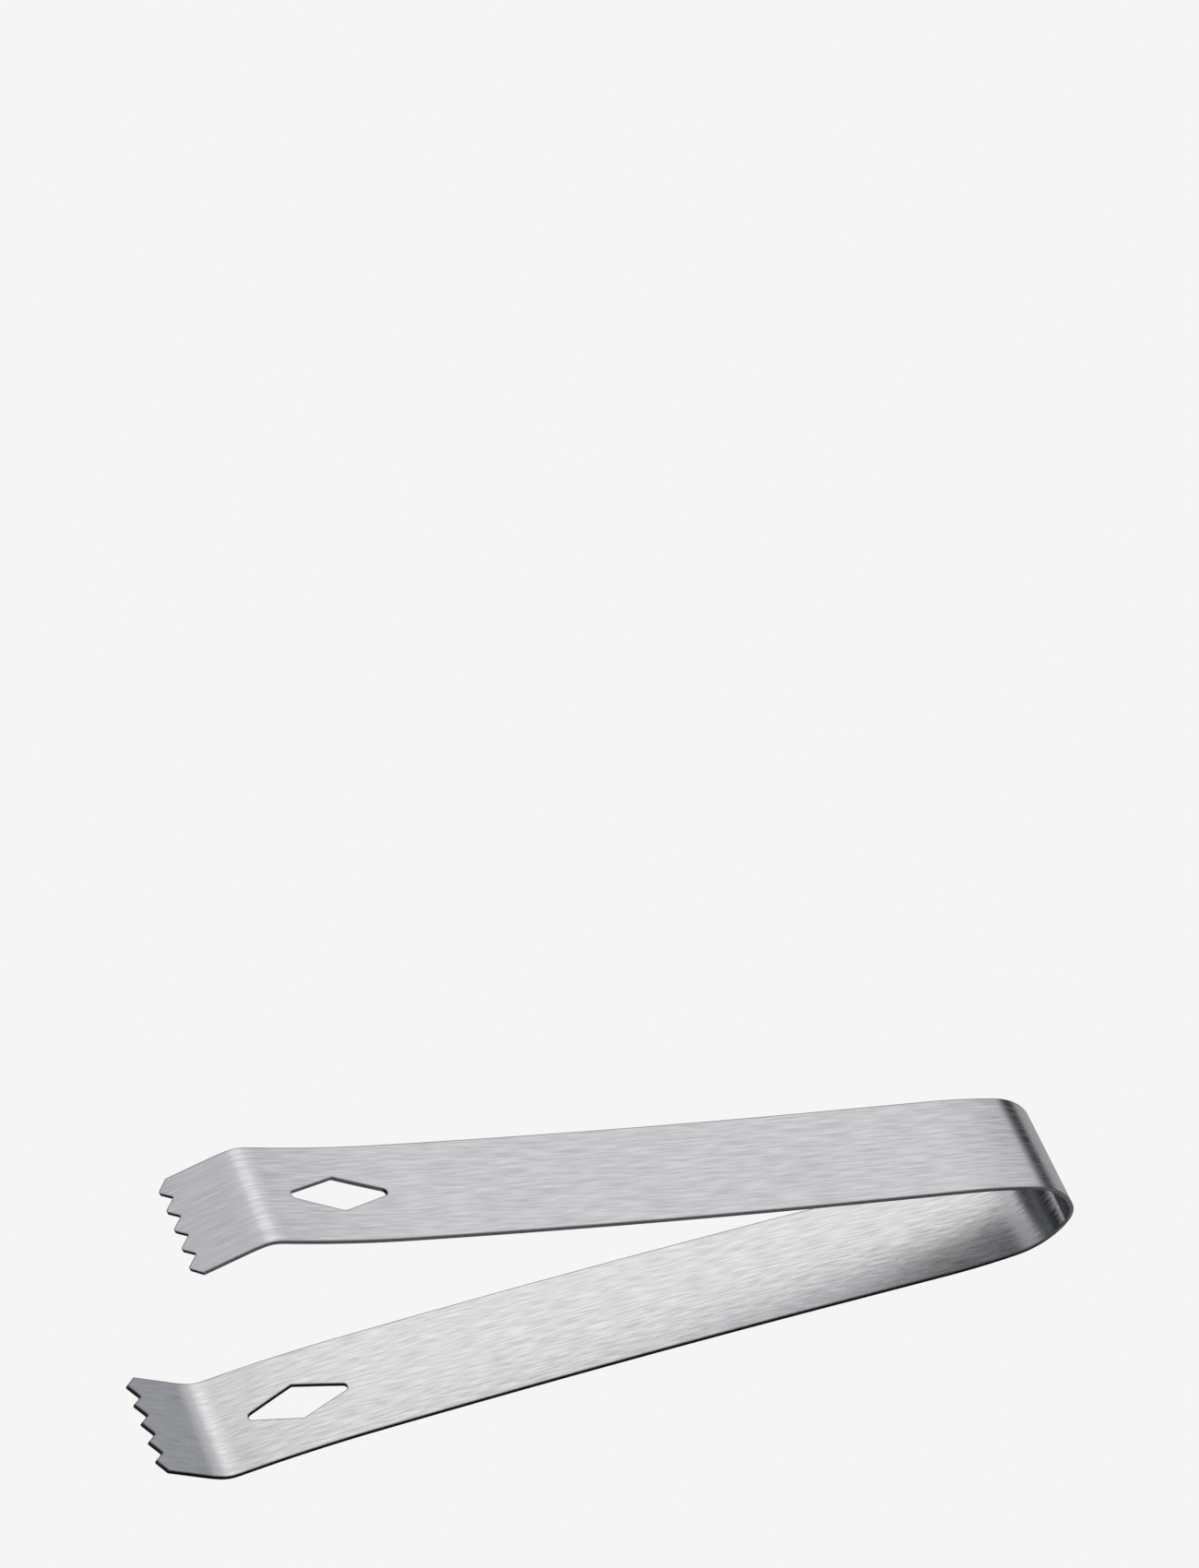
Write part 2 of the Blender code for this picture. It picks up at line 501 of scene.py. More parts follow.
@dataclass(frozen=True)
class Teeth:
    """The row of teeth across the end of the claw, in mm."""

    count: int = 5
    depth: float = 1.75
    tip_radius: float = 0.4
    root_radius: float = 0.3
    arc_facets: int = 6
    flank_facets: int = 4
    settling_rounds: int = 12

    def sharp_depth(self, half_pitch: float) -> tuple[float, float]:
        """Return how far the sharp zigzag passes the rounded tips and roots.

        A corner of half angle a, rounded to a radius r, falls short by r / sin(a) - r.
        The angle depends on the sharp depth, so both are worked out in turn until they
        settle.

        Args:
            half_pitch: how far across a tip is from the next root.

        Returns:
            The distance past the tips and the distance past the roots.
        """
        past_tip = past_root = 0.0
        for _ in range(self.settling_rounds):
            whole = self.depth + past_tip + past_root
            stretch = math.hypot(half_pitch, whole) / half_pitch - 1.0
            past_tip = self.tip_radius * stretch
            past_root = self.root_radius * stretch
        return past_tip, past_root

    def outline(self, end: float, width: float, corner_radius: float) -> Outline:
        """Return the cut across the strip's end, from its one long edge to the other.

        It is a zigzag with an arc in place of each corner. The first and last corners
        are those between the long edges and the outermost flanks.

        Args:
            end: how far the tips are from the nose.
            width: the strip's width.
            corner_radius: the radius of the first and last corners.

        Returns:
            The outline.
        """
        half_pitch = width / (2 * self.count)
        past_tip, past_root = self.sharp_depth(half_pitch)
        order = np.arange(2 * self.count + 1)
        is_tip = order % 2 == 1
        along = np.where(is_tip, end + past_tip, end - self.depth - past_root)
        along[[0, -1]] = end - self.depth
        corners = np.stack((along, width / 2.0 - order * half_pitch), axis=1)
        radii = np.where(is_tip, self.tip_radius, self.root_radius)
        radii[[0, -1]] = corner_radius
        tail = np.array([[0.0, width / 2.0], [0.0, -width / 2.0]])
        path = np.concatenate((tail[:1], corners, tail[1:]))
        before = path[1:-1] - path[:-2]
        after = path[2:] - path[1:-1]
        before /= np.linalg.norm(before, axis=1, keepdims=True)
        after /= np.linalg.norm(after, axis=1, keepdims=True)
        out_before = np.stack((-before[:, 1], before[:, 0]), axis=1)
        out_after = np.stack((-after[:, 1], after[:, 0]), axis=1)
        first = np.arctan2(out_before[:, 1], out_before[:, 0])
        cross = before[:, 0] * after[:, 1] - before[:, 1] * after[:, 0]
        sweep = np.arctan2(cross, np.sum(before * after, axis=1))
        bulge = -np.sign(sweep)
        middle = out_before + out_after
        middle /= np.sum(middle * out_before, axis=1, keepdims=True)
        centres = corners - (bulge * radii)[:, None] * middle
        share = np.linspace(0.0, 1.0, self.arc_facets + 1)
        angle = first[:, None] + sweep[:, None] * share
        normals = np.stack((np.cos(angle), np.sin(angle)), axis=2)
        arcs = centres[:, None, :] + (bulge * radii)[:, None, None] * normals
        part = np.linspace(0.0, 1.0, self.flank_facets + 1)[1:-1, None]
        flanks = arcs[:-1, -1:, :] * (1.0 - part) + arcs[1:, :1, :] * part
        flank_normals = np.repeat(out_after[:-1, None, :], len(part), axis=1)
        points = np.concatenate((arcs[:-1], flanks), axis=1).reshape(-1, 2)
        ways = np.concatenate((normals[:-1], flank_normals), axis=1).reshape(-1, 2)
        return Outline(np.concatenate((points, arcs[-1])), np.concatenate((ways, normals[-1])))


@dataclass(frozen=True)
class DiamondHole:
    """The diamond-shaped hole on the strip's centre line, in mm."""

    length: float = 20.5
    width: float = 7.15
    corner_radius: float = 0.8
    to_claw_bend: float = 12.63
    surround: float = 12.2
    corner_weight: float = 4.0

    def outline(self, centre: float, count: int) -> Outline:
        """Return the hole's outline, from its corner nearest the claw and round.

        A circle of the corner radius goes from corner to corner of a smaller diamond,
        and turns to face the next side at each. The outline is the circle's centre plus
        the radius along the way it faces. More points go to the corners than to the sides.

        Args:
            centre: how far the middle of the hole is from the nose.
            count: how many points, a multiple of 4.

        Returns:
            The outline, closed by its first point again.
        """
        half_length = self.length / 2.0
        half_width = self.width / 2.0
        side = math.hypot(half_length, half_width)
        faced = math.atan2(half_length, half_width)
        inner_length = half_length - self.corner_radius * side / half_width
        inner_width = half_width - self.corner_radius * side / half_length
        sharp_turn = self.corner_weight * self.corner_radius * faced
        blunt_turn = self.corner_weight * self.corner_radius * (math.pi / 2.0 - faced)
        straight = math.hypot(inner_length, inner_width)
        quarter = [sharp_turn, straight, blunt_turn]
        marks = np.cumsum([0.0] + (quarter + quarter[::-1]) * 2)
        turn = math.pi
        ways = [0.0, faced, faced, turn / 2, turn - faced, turn - faced, turn]
        ways += [turn + way for way in ways[1:]]
        lengths = [1.0, 1.0, 0.0, 0.0, 0.0, -1.0, -1.0, -1.0, 0.0, 0.0, 0.0, 1.0, 1.0]
        widths = [0.0, 0.0, 1.0, 1.0, 1.0, 0.0, 0.0, 0.0, -1.0, -1.0, -1.0, 0.0, 0.0]
        where = np.linspace(0.0, marks[-1], count + 1)
        angle = np.interp(where, marks, ways)
        facing = np.stack((np.cos(angle), np.sin(angle)), axis=1)
        middle = np.stack(
            (
                centre + inner_length * np.interp(where, marks, lengths),
                inner_width * np.interp(where, marks, widths),
            ),
            axis=1,
        )
        return Outline(middle + self.corner_radius * facing, -facing)


@dataclass(frozen=True)
class BentLine:
    """The middle line of half the strip, from the nose of the bow to the tips, in mm and degrees.

    A turn outwards is positive. Each radius is that of the middle of the steel.
    """

    nose_radius: float = 4.9
    nose_angle: float = -23.8
    shoulder_radius: float = 11.5
    shoulder_angle: float = -52.1
    heel_radius: float = 98.0
    heel_angle: float = -7.4
    neck_length: float = 19.2
    shank_radius: float = 1740.0
    shank_angle: float = 2.7
    flare_length: float = 23.0
    flare_angle: float = 6.25
    run_in_length: float = 1.4
    run_in_angle: float = -5.0
    claw_bend_radius: float = 5.0
    claw_bend_angle: float = -28.55
    run_out_length: float = 2.6
    run_out_angle: float = -7.4
    claw_length: float = 9.84
    facet_length: float = 1.4
    facet_turn: float = 1.6

    def stretches(self) -> tuple[np.ndarray, np.ndarray]:
        """Work out the stretches, from the nose to the tips.

        Returns:
            Each stretch's length in mm and its turn in radians.
        """
        turns = np.radians(
            [
                self.nose_angle,
                self.shoulder_angle,
                self.heel_angle,
                0.0,
                self.shank_angle,
                self.flare_angle,
                self.run_in_angle,
                self.claw_bend_angle,
                self.run_out_angle,
                0.0,
            ]
        )
        lengths = np.array(
            [
                self.nose_radius * abs(turns[0]),
                self.shoulder_radius * abs(turns[1]),
                self.heel_radius * abs(turns[2]),
                self.neck_length,
                self.shank_radius * abs(turns[4]),
                self.flare_length,
                self.run_in_length,
                self.claw_bend_radius * abs(turns[7]),
                self.run_out_length,
                self.claw_length,
            ]
        )
        return lengths, turns

    def half_length(self) -> float:
        """Return the distance from the nose to the tips."""
        return float(self.stretches()[0].sum())

    def claw_bend_start(self) -> float:
        """Return the distance from the nose to the bend of the claw."""
        return float(self.stretches()[0][:6].sum())

    def rows(self, start: float, end: float) -> np.ndarray:
        """Space rows along the strip, closer where it turns.

        The count of facets is the length over facet_length plus the turn over
        facet_turn, and they are shared out evenly by that measure.

        Args:
            start: the first row's distance from the nose.
            end: the last row's.

        Returns:
            Each row's distance from the nose.
        """
        lengths, turns = self.stretches()
        cost = lengths / self.facet_length + np.abs(turns) / math.radians(self.facet_turn)
        marks = np.concatenate(([0.0], np.cumsum(lengths)))
        costs = np.concatenate(([0.0], np.cumsum(cost)))
        first, last = np.interp([start, end], marks, costs)
        count = math.ceil(last - first)
        return np.interp(np.linspace(first, last, count + 1), costs, marks)

    def bend(self, along: np.ndarray, above: np.ndarray) -> tuple[np.ndarray, np.ndarray]:
        """Bend flat points of the strip to its profile.

        A stretch of curvature k takes a point d along it to the end of a chord of length
        d * sin(k d / 2) / (k d / 2), whose heading is the stretch's own plus k d / 2. A
        point above the middle of the steel then goes out along the normal there.

        Args:
            along: distances from the nose.
            above: heights above the middle of the steel.

        Returns:
            How far back from the nose and how far out from the middle plane each comes.
        """
        lengths, turns = self.stretches()
        starts = np.concatenate(([0.0], np.cumsum(lengths)[:-1]))
        headings = math.pi / 2.0 + np.concatenate(([0.0], np.cumsum(turns)[:-1]))
        chords = lengths * np.sinc(turns / (2.0 * math.pi))
        chord_headings = headings + turns / 2.0
        back_starts = np.concatenate(([0.0], np.cumsum(chords * np.cos(chord_headings))[:-1]))
        out_starts = np.concatenate(([0.0], np.cumsum(chords * np.sin(chord_headings))[:-1]))
        which = np.clip(np.searchsorted(starts, along, side="right") - 1, 0, len(starts) - 1)
        into = along - starts[which]
        half_turn = (turns / lengths)[which] * into / 2.0
        chord = into * np.sinc(half_turn / math.pi)
        heading = headings[which] + 2.0 * half_turn
        back = back_starts[which] + chord * np.cos(heading - half_turn)
        out = out_starts[which] + chord * np.sin(heading - half_turn)
        return back - above * np.sin(heading), out + above * np.cos(heading)


@dataclass
class Patchwork:
    """A mesh gathered from grids of points."""

    places: list[np.ndarray] = field(default_factory=list)
    corners: list[np.ndarray] = field(default_factory=list)
    maps: list[np.ndarray] = field(default_factory=list)
    finishes: list[np.ndarray] = field(default_factory=list)

    def add(self, places: np.ndarray, strip_map: np.ndarray, finish: Finish) -> None:
        """Add a grid.

        Args:
            places: the points, rows by columns by 3.
            strip_map: their places on the strip's map, rows by columns by 2.
            finish: the finish of the faces between them.
        """
        rows, columns = places.shape[:2]
        start = sum(len(part) for part in self.places)
        number = np.arange(rows * columns).reshape(rows, columns)
        quads = np.stack((number[:-1, :-1], number[1:, :-1], number[1:, 1:], number[:-1, 1:]), axis=-1)
        quads = quads.reshape(-1, 4)
        self.places.append(places.reshape(-1, 3))
        self.corners.append(quads + start)
        self.maps.append(strip_map.reshape(-1, 2)[quads.ravel()])
        self.finishes.append(np.full(len(quads), finish.value))

    def mesh(self, name: str, merge: float, sharp_angle: float) -> bpy.types.Mesh:
        """Make the mesh, with its grids joined where they meet and its faces outwards.

        Args:
            name: the mesh's name.
            merge: the distance within which points are one, in metres.
            sharp_angle: the angle in degrees past which an edge is sharp.

        Returns:
            The mesh.
        """
        places = np.concatenate(self.places)
        corners = np.concatenate(self.corners)
        data = bpy.data.meshes.new(name)
        data.vertices.add(len(places))
        data.vertices.foreach_set("co", places.astype(np.float32).ravel())
        data.loops.add(corners.size)
        data.loops.foreach_set("vertex_index", corners.astype(np.int32).ravel())
        data.polygons.add(len(corners))
        data.polygons.foreach_set("loop_start", np.arange(0, corners.size, 4, dtype=np.int32))
        data.polygons.foreach_set("material_index", np.concatenate(self.finishes).astype(np.int32))
        data.update(calc_edges=True)
        strip_map = data.uv_layers.new(name=STRIP_MAP)
        strip_map.data.foreach_set("uv", np.concatenate(self.maps).astype(np.float32).ravel())
        shell = bmesh.new()
        shell.from_mesh(data)
        bmesh.ops.remove_doubles(shell, verts=shell.verts, dist=merge)
        bmesh.ops.recalc_face_normals(shell, faces=shell.faces)
        shell.to_mesh(data)
        shell.free()
        data.shade_smooth()
        data.set_sharp_from_angle(angle=math.radians(sharp_angle))
        return data


@dataclass(frozen=True)
class Rest:
    """How the tongs lie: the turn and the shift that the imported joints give."""

    tilt: float
    shift: tuple[float, float]

    @classmethod
    def from_joints(cls, joints: list[dict], line: BentLine, flex_from_nose: float) -> "Rest":
        """Find how the tongs lie from the two places where the strip flexes.

        Upright, the two places are one above the other. The line between the packed
        joints shows how far the tongs are tipped, and its middle shows where they are.

        Args:
            joints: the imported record's joints.
            line: the strip's middle line.
            flex_from_nose: how far along the strip the two places are.

        Returns:
            The resting place.
        """
        where = {joint["name"]: np.array(joint["pos_m"]) for joint in joints}
        apart = where["upper_flex"] - where["lower_flex"]
        middle = (where["upper_flex"] + where["lower_flex"]) / 2.0
        tilt = math.atan2(apart[0], apart[2])
        back, _ = line.bend(np.array(flex_from_nose), np.array(0.0))
        nose = middle + float(back) * MM * np.array([math.cos(tilt), 0.0, -math.sin(tilt)])
        return cls(tilt, (float(nose[0]), float(nose[2])))

    def lay(self, places: np.ndarray) -> np.ndarray:
        """Tip and shift points to where they lie.

        Args:
            places: the points, upright, in mm.

        Returns:
            The points in metres.
        """
        upright = places * MM
        cos, sin = math.cos(self.tilt), math.sin(self.tilt)
        laid_x = cos * upright[..., 0] + sin * upright[..., 2] + self.shift[0]
        laid_z = -sin * upright[..., 0] + cos * upright[..., 2] + self.shift[1]
        return np.stack((laid_x, upright[..., 1], laid_z), axis=-1)


@dataclass(frozen=True)
class StripHalf:
    """Half of the strip: its arm with half of the bow, in mm.

    One narrow row, nose_row wide, runs beside the seam at the nose, so that the two
    halves shade as one.
    """

    side: Side
    rest: Rest
    line: BentLine = BentLine()
    teeth: Teeth = Teeth()
    hole: DiamondHole = DiamondHole()
    edge: CutEdge = CutEdge()
    width: float = 20.0
    thickness: float = 0.8
    tooth_rows: int = 8
    tooth_zone: float = 4.5
    hole_rows: int = 26
    hole_rings: int = 12
    ring_growth: float = 1.5
    nose_row: float = 0.04
    blend_end: float = 60.0
    merge_distance: float = 2e-6
    sharp_angle: float = 40.0

    def place(self, flat: np.ndarray, above: np.ndarray | float) -> np.ndarray:
        """Bend and lay points of the flat half.

        Args:
            flat: distances along and across, as the last axis.
            above: heights above the middle of the steel, positive outside.

        Returns:
            The points in metres.
        """
        back, out = self.line.bend(flat[..., 0], np.broadcast_to(above, flat.shape[:-1]))
        return self.rest.lay(np.stack((-back, flat[..., 1], self.side.value * out), axis=-1))

    def add_face(self, shell: Patchwork, flat: np.ndarray) -> None:
        """Add a patch of both broad faces.

        The strip's map holds the place across and along, in metres. The inside is moved
        along by twice the strip's length, so that its scratches are its own.

        Args:
            shell: the mesh being gathered.
            flat: the patch's points, along and across.
        """
        on_map = np.stack((flat[..., 1], self.side.value * flat[..., 0]), axis=-1) * MM
        away = np.array([0.0, 4.0 * self.line.half_length() * MM])
        half = self.thickness / 2.0
        shell.add(self.place(flat, half), on_map, Finish.OUTSIDE)
        shell.add(self.place(flat, -half), on_map + away, Finish.INSIDE)

    def add_wall(self, shell: Patchwork, cut: Outline) -> None:
        """Add the wall of a cut: the edge's cross-section carried along the outline.

        Args:
            shell: the mesh being gathered.
            cut: the outline.
        """
        depth, height = self.edge.profile(self.thickness)
        flat = cut.points[:, None, :] - depth[None, :, None] * cut.normals[:, None, :]
        around = np.concatenate(([0.0], np.cumsum(np.hypot(np.diff(depth), np.diff(height)))))
        run = self.side.value * cut.run()
        on_map = np.stack(np.broadcast_arrays(around[None, :], run[:, None]), axis=-1) * MM
        shell.add(self.place(flat, np.broadcast_to(height, flat.shape[:-1])), on_map, Finish.CUT)

    def add_seam(self, shell: Patchwork, columns: np.ndarray) -> None:
        """Close the half where it meets the other one, with the strip's cross-section.

        Args:
            shell: the mesh being gathered.
            columns: distances across of the broad faces' columns.
        """
        depth, height = self.edge.profile(self.thickness)
        half = len(depth) // 2
        rim = self.width / 2.0 - depth[:half][::-1]
        across = np.concatenate((rim, columns[1:-1], -rim[::-1]))
        flat_face = np.full(len(columns) - 2, self.thickness / 2.0)
        above = np.concatenate((height[:half][::-1], flat_face, height[:half]))
        flat = np.stack((np.zeros_like(across), across), axis=-1)
        both = np.stack((self.place(flat, above), self.place(flat, -above)))
        on_map = np.broadcast_to(flat * MM, both.shape[:2] + (2,))
        shell.add(both, on_map, Finish.CUT)

    def block_around_hole(self, columns: np.ndarray, rows: np.ndarray, centre: float) -> np.ndarray:
        """Work out the rings between the hole and the block of strip around it.

        Ring by ring, each point goes in a straight line from the hole's rim to the
        block's border, by a share that grows faster as it nears the border.

        Args:
            columns: distances across of the broad faces' columns.
            rows: distances along of the block's rows.
            centre: how far the middle of the hole is from the nose.

        Returns:
            The points, rings by points by 2.
        """
        middle = len(columns) // 2
        far, near = np.full(len(columns), rows[-1]), np.full(len(columns), rows[0])
        left, right = np.full(len(rows), columns[0]), np.full(len(rows), columns[-1])
        border = np.concatenate(
            (
                np.stack((far, columns), axis=1)[middle:0:-1],
                np.stack((rows, left), axis=1)[::-1],
                np.stack((near, columns), axis=1)[1:-1],
                np.stack((rows, right), axis=1),
                np.stack((far, columns), axis=1)[-2 : middle - 1 : -1],
            )
        )
        rim = self.hole.outline(centre, len(border) - 1).inset(self.edge.margin)
        share = (np.linspace(0.0, 1.0, self.hole_rings + 1) ** self.ring_growth)[:, None, None]
        return rim * (1.0 - share) + border * share

    def mesh(self, name: str) -> bpy.types.Mesh:
        """Build the half's mesh: its faces patch by patch, the seam and the walls.

        Args:
            name: the mesh's name.

        Returns:
            The mesh.
        """
        shell = Patchwork()
        end = self.line.half_length()
        centre = self.line.claw_bend_start() - self.hole.to_claw_bend
        teeth = self.teeth.outline(end, self.width, self.edge.margin)
        tooth_row = teeth.inset(self.edge.margin)
        arc = self.teeth.arc_facets
        tooth_row = tooth_row[arc:-arc]
        columns = np.linspace(tooth_row[0, 1], tooth_row[-1, 1], len(tooth_row))
        block = np.linspace(-self.hole.surround, self.hole.surround, self.hole_rows + 1) + centre
        tooth_start = end - self.tooth_zone
        to_hole = np.concatenate(([0.0], self.line.rows(self.nose_row, block[0])))
        to_teeth = self.line.rows(block[-1], tooth_start)
        for rows in (to_hole, to_teeth):
            flat = np.stack(np.meshgrid(rows, columns, indexing="ij"), axis=-1)
            self.add_face(shell, flat)
        self.add_face(shell, self.block_around_hole(columns, block, centre))
        straight_row = np.stack((np.full(len(columns), tooth_start), columns), axis=1)
        share = np.linspace(0.0, 1.0, self.tooth_rows + 1)[:, None, None]
        tooth_patch = straight_row * (1.0 - share) + tooth_row * share
        self.add_face(shell, tooth_patch)
        self.add_seam(shell, columns)
        long_rows = np.concatenate((to_hole, block[1:-1], to_teeth, tooth_patch[1:-1, 0, 0]))
        level = np.ones((len(long_rows), 1))
        edge = np.stack((long_rows, np.full(len(long_rows), self.width / 2.0)), axis=1)
        other = edge[::-1] * np.array([1.0, -1.0])
        outward = level * np.array([0.0, 1.0])
        around = Outline(
            np.concatenate((edge, teeth.points, other)),
            np.concatenate((outward, teeth.normals, -outward)),
        )
        self.add_wall(shell, around)
        ring_count = 2 * (len(columns) - 1) + 2 * (len(block) - 1)
        self.add_wall(shell, self.hole.outline(centre, ring_count))
        return shell.mesh(name, self.merge_distance, self.sharp_angle)

    def build(self, name: str, finishes: list[bpy.types.Material]) -> bpy.types.Object:
        """Build the half and dress it, and hide the imported bow and its arm.

        Args:
            name: the piece's name.
            finishes: the materials, in the order of Finish.

        Returns:
            The piece.
        """
        data = self.mesh(name)
        for finish in finishes:
            data.materials.append(finish)
        piece = bpy.data.objects.new(name, data)
        bpy.context.scene.collection.objects.link(piece)
        arm = "upper_arm" if self.side is Side.UPPER else "lower_arm"
        nose = self.place(np.array([0.0, 0.0]), 0.0)
        along_arm = self.place(np.array([self.blend_end, 0.0]), 0.0)
        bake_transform(piece)
        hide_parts("bow", arm)
        return piece


@dataclass(frozen=True)
class Tongs:
    """The whole strip: both halves, with one set of finishes."""

    flex_from_nose: float = 30.0

    def finishes(self) -> list[bpy.types.Material]:
        """Make the materials.

        Returns:
            Those of the outside, the inside and the cut edges, in the order of Finish.
        """
        outside = BrushedStainless("brushed_stainless_outside")
        inside = BrushedStainless(
            "brushed_stainless_inside",
            bright="#D3D3D7",
            dull="#C4C4C8",
            roughness=0.26,
            scratch_width=0.34,
            scratch_length=4.5,
            wander=0.3,
            tilt_across=0.02,
            tilt_along=0.022,
        )
        return [outside.material(), inside.material(), ShearedStainless().material()]

    def build(self) -> list[bpy.types.Object]:
        """Build both halves.

        Returns:
            The upper half and the lower one.
        """
        rest = Rest.from_joints(frame["joints"], BentLine(), self.flex_from_nose)
        finishes = self.finishes()
        upper = StripHalf(Side.UPPER, rest).build("upper_strip", finishes)
        lower = StripHalf(Side.LOWER, rest).build("lower_strip", finishes)
        return [upper, lower]


# ---------------------------------------------------------------------------
# The studio
# ---------------------------------------------------------------------------


@dataclass(frozen=True)
class SoftLamp:
    """A large soft lamp, far off: a round glow in one direction of the sky.

    A strength below zero is a dark drape, which takes the light of the sky away.
    """

    azimuth: float
    elevation: float
    inner: float
    outer: float
    strength: float

    def glow(
        self, tree: bpy.types.NodeTree, way: bpy.types.NodeSocket
    ) -> bpy.types.NodeSocket:
        """Return the lamp's light in each direction.

        Azimuth is 0 towards +Y and 90 towards +X. The light is full within the inner
        angle of the lamp's middle, and fades smoothly to nothing at the outer angle.

        Args:
            tree: the world's node tree.
            way: the direction looked in.

        Returns:
            The light.
        """
        azimuth, elevation = math.radians(self.azimuth), math.radians(self.elevation)
        flat = math.cos(elevation)
        aim = (math.sin(azimuth) * flat, math.cos(azimuth) * flat, math.sin(elevation))
        facing = add_node(
            tree,
            "ShaderNodeVectorMath",
            {"operation": "DOT_PRODUCT", 1: aim},
            {0: way},
        )
        edge, core = math.cos(math.radians(self.outer)), math.cos(math.radians(self.inner))
        return soft_step(tree, facing.outputs["Value"], edge, core, self.strength)


@dataclass(frozen=True)
class Flag:
    """A dark card that stands on the floor, out of the camera's sight.

    The steel reflects it as a dark band. Azimuth is the way from the tongs to the card,
    0 towards +Y and 90 towards +X. Sizes are in metres.
    """

    place: tuple[float, float]
    azimuth: float
    width: float
    height: float
    paint: str = "#303030"

    def build(self) -> bpy.types.Object:
        """Make the card.

        Returns:
            The card.
        """
        azimuth = math.radians(self.azimuth)
        side = np.array([math.cos(azimuth), -math.sin(azimuth), 0.0]) * self.width / 2.0
        foot = np.array([*self.place, 0.0])
        top = np.array([0.0, 0.0, self.height])
        corners = np.stack((foot - side, foot + side, foot + side + top, foot - side + top))
        data = bpy.data.meshes.new("black_flag")
        data.from_pydata(corners.tolist(), [], [(0, 1, 2, 3)])
        card = bpy.data.objects.new("black_flag", data)
        bpy.context.scene.collection.objects.link(card)
        card.visible_camera = False
        material = bpy.data.materials.new("black_card")
        material.use_nodes = True
        shader = material.node_tree.nodes["Principled BSDF"]
        shader.inputs["Base Color"].default_value = linear(self.paint)
        shader.inputs["Roughness"].default_value = 1.0
        data.materials.append(material)
        return card


@dataclass(frozen=True)
class SoftEdge:
    """A soft edge of a lit patch of floor: where across an axis it is dark and lit, in metres."""

    axis: Axis
    dark: float
    lit: float


@dataclass(frozen=True)
class LitPatch:
    """A patch of the floor that throws light back at the steel, within its soft edges."""

    light: float
    edges: tuple[SoftEdge, ...]

    def glow(
        self, tree: bpy.types.NodeTree, coordinates: bpy.types.NodeOutputs
    ) -> bpy.types.NodeSocket:
        """Return the patch's light: its full light times the step of each edge.

        Args:
            tree: the floor material's node tree.
            coordinates: the place on the floor, axis by axis.

        Returns:
            The light.
        """
        steps = [
            soft_step(tree, coordinates[edge.axis.value], edge.dark, edge.lit)
            for edge in self.edges
        ]
        inside = steps[0]
        for step in steps[1:]:
            inside = combine(tree, Operation.PRODUCT, inside, step)
        return combine(tree, Operation.PRODUCT, inside, self.light)


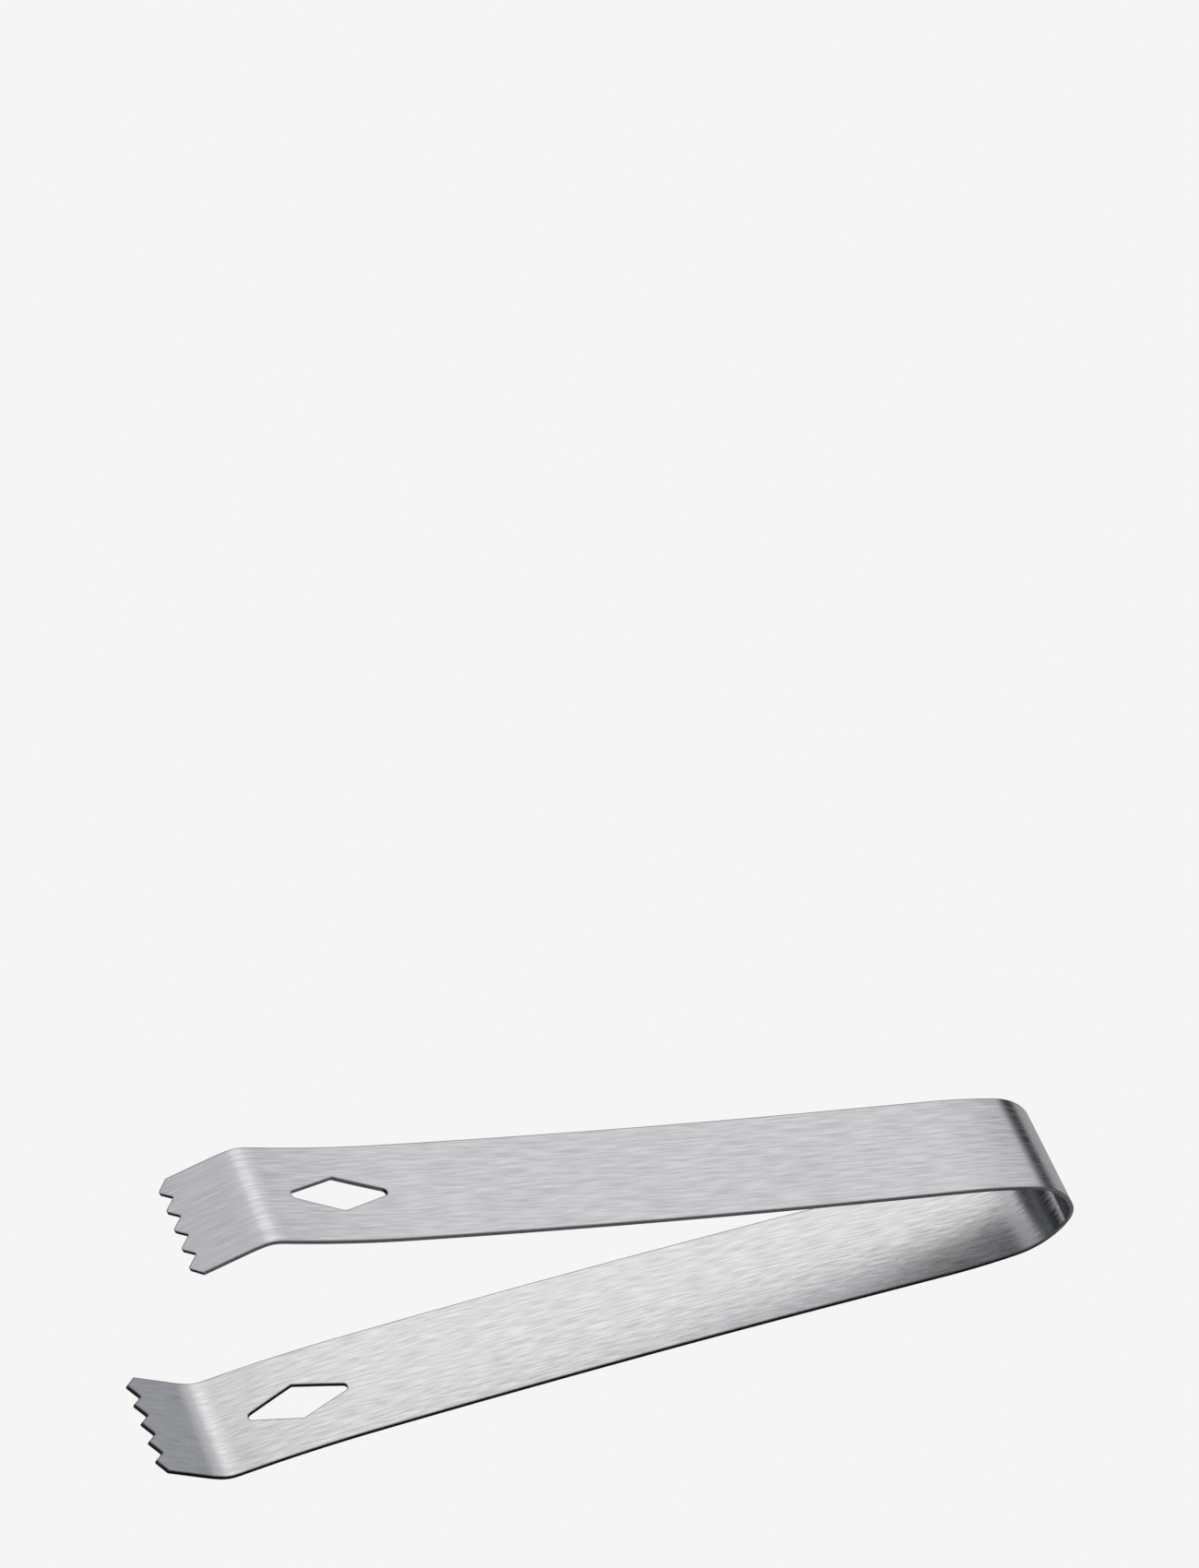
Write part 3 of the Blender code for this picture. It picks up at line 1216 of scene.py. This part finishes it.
@dataclass(frozen=True)
class Studio:
    """A pale floor and soft light from above, with nothing else in sight.

    The camera sees plain paper all round. The steel sees a sky that is given as pairs of
    an elevation in degrees and its light, and a dark floor with lit patches: beyond the
    bow, in front of the arms and behind them. The floor's side is in metres.
    """

    paper: str = "#F5F5F5"
    floor_side: float = 30.0
    sky: tuple[tuple[float, float], ...] = (
        (-90.0, 0.02),
        (-4.0, 0.1),
        (9.0, 0.42),
        (16.0, 0.75),
        (24.0, 0.97),
        (34.0, 0.71),
        (48.0, 0.88),
        (90.0, 0.82),
    )
    lamps: tuple[SoftLamp, ...] = (
        SoftLamp(36.0, 51.0, 0.0, 33.0, 0.44),
        SoftLamp(-63.0, 21.0, 24.0, 34.0, -0.76),
    )
    flags: tuple[Flag, ...] = (Flag((0.153, 0.056), 52.0, 0.12, 0.040),)
    cool: str = "#E9F2FF"
    warm: str = "#FFFEFB"
    darkest: float = 0.01
    under_paper: float = 0.015
    patches: tuple[LitPatch, ...] = (
        LitPatch(0.5, (SoftEdge(Axis.X, RIGHT_END - 15.0 * MM, RIGHT_END + 15.0 * MM),)),
        LitPatch(
            0.24,
            (
                SoftEdge(Axis.Y, -13.0 * MM, -30.0 * MM),
                SoftEdge(Axis.X, LEFT_END - 8.0 * MM, LEFT_END + 12.0 * MM),
            ),
        ),
        LitPatch(
            0.85,
            (
                SoftEdge(Axis.X, RIGHT_END - 14.0 * MM, RIGHT_END - 36.0 * MM),
                SoftEdge(Axis.X, LEFT_END + 28.0 * MM, LEFT_END + 58.0 * MM),
                SoftEdge(Axis.Y, 8.0 * MM, 20.0 * MM),
            ),
        ),
    )

    def sky_light(self, tree: bpy.types.NodeTree, way: bpy.types.NodeSocket) -> bpy.types.NodeSocket:
        """Return the sky's light at each height above the horizon.

        Args:
            tree: the world's node tree.
            way: the direction looked in.

        Returns:
            The light.
        """
        parts = add_node(tree, "ShaderNodeSeparateXYZ", links={0: way})
        share = add_node(tree, "ShaderNodeMapRange", {1: -1.0, 2: 1.0}, {0: parts.outputs[2]})
        ramp = add_node(tree, "ShaderNodeValToRGB", links={0: share.outputs[0]})
        stops = ramp.color_ramp.elements
        for _ in self.sky[len(stops) :]:
            stops.new(1.0)
        for stop, (elevation, light) in zip(stops, self.sky):
            stop.position = (math.sin(math.radians(elevation)) + 1.0) / 2.0
            stop.color = (light, light, light, 1.0)
        return ramp.outputs[0]

    def build_world(self) -> None:
        """Make the light: what the steel reflects, and a plain backdrop behind it."""
        world = bpy.data.worlds.new("studio")
        bpy.context.scene.world = world
        world.use_nodes = True
        tree = world.node_tree
        way = add_node(tree, "ShaderNodeTexCoord").outputs["Generated"]
        light = self.sky_light(tree, way)
        for lamp in self.lamps:
            lit = combine(tree, Operation.SUM, light, lamp.glow(tree, way))
            light = combine(tree, Operation.LARGER, lit, self.darkest)
        tint = add_node(
            tree,
            "ShaderNodeMix",
            {"data_type": "RGBA", 6: linear(self.cool), 7: linear(self.warm)},
            {"Factor": light},
        )
        seen = add_node(tree, "ShaderNodeLightPath").outputs["Is Camera Ray"]
        colour = add_node(
            tree,
            "ShaderNodeMix",
            {"data_type": "RGBA", 7: linear(self.paper)},
            {"Factor": seen, 6: tint.outputs[2]},
        )
        strength = add_node(tree, "ShaderNodeMix", {3: 1.0}, {"Factor": seen, 2: light})
        background = tree.nodes["Background"]
        tree.links.new(colour.outputs[2], background.inputs["Color"])
        tree.links.new(strength.outputs[0], background.inputs["Strength"])

    def build_floor(self) -> None:
        """Make the floor: pale paper, lit evenly, that the steel sees as a darker bench."""
        half = self.floor_side / 2.0
        data = bpy.data.meshes.new("floor")
        corners = [(-half, -half, 0.0), (half, -half, 0.0), (half, half, 0.0), (-half, half, 0.0)]
        data.from_pydata(corners, [], [(0, 1, 2, 3)])
        floor = bpy.data.objects.new("floor", data)
        bpy.context.scene.collection.objects.link(floor)
        material = bpy.data.materials.new("evenly_lit_paper")
        material.use_nodes = True
        data.materials.append(material)
        tree = material.node_tree
        tree.nodes.remove(tree.nodes["Principled BSDF"])
        place = add_node(tree, "ShaderNodeTexCoord").outputs["Object"]
        parts = add_node(tree, "ShaderNodeSeparateXYZ", links={0: place})
        lights = [patch.glow(tree, parts.outputs) for patch in self.patches]
        under = combine(tree, Operation.LARGER, lights[0], self.under_paper)
        for light in lights[1:]:
            under = combine(tree, Operation.LARGER, under, light)
        seen = add_node(tree, "ShaderNodeLightPath").outputs["Is Camera Ray"]
        colour = add_node(
            tree,
            "ShaderNodeMix",
            {"data_type": "RGBA", 7: linear(self.paper)},
            {"Factor": seen, 6: under},
        )
        glow = add_node(tree, "ShaderNodeEmission", links={"Color": colour.outputs[2]})
        tree.links.new(glow.outputs[0], tree.nodes["Material Output"].inputs["Surface"])

    def build(self) -> None:
        """Make the whole studio."""
        self.build_world()
        self.build_floor()
        for flag in self.flags:
            flag.build()
        bpy.context.scene.view_settings.view_transform = "Standard"


@dataclass(frozen=True)
class Camera:
    """A long lens, high in front of the tongs and a little to the claws' side.

    Azimuth is how far the camera stands round from straight in front, towards the claws.
    """

    lens: float = 169.41
    aim: tuple[float, float, float] = (0.03986, 0.11279, 0.0)
    distance: float = 1.3126
    azimuth: float = 20.202
    elevation: float = 48.894
    roll: float = 0.694

    def build(self) -> None:
        """Make the camera and look through it."""
        data = bpy.data.cameras.new("camera")
        data.lens = self.lens
        camera = bpy.data.objects.new("camera", data)
        bpy.context.scene.collection.objects.link(camera)
        azimuth, elevation = math.radians(self.azimuth), math.radians(self.elevation)
        flat = math.cos(elevation)
        back = Vector((-math.sin(azimuth) * flat, -math.cos(azimuth) * flat, math.sin(elevation)))
        upright = (-back).to_track_quat("-Z", "Y").to_matrix().to_4x4()
        turned = upright @ Matrix.Rotation(math.radians(self.roll), 4, "Z")
        camera.matrix_world = Matrix.Translation(Vector(self.aim) + back * self.distance) @ turned
        bpy.context.scene.camera = camera


def main() -> None:
    """Build the tongs, the studio and the camera."""
    logging.basicConfig(level=logging.INFO, format="%(name)s: %(message)s")
    for piece in Tongs().build():
        log.info("%s: %d faces", piece.name, len(piece.data.polygons))
    Studio().build()
    Camera().build()


if __name__ == "__main__":
    main()
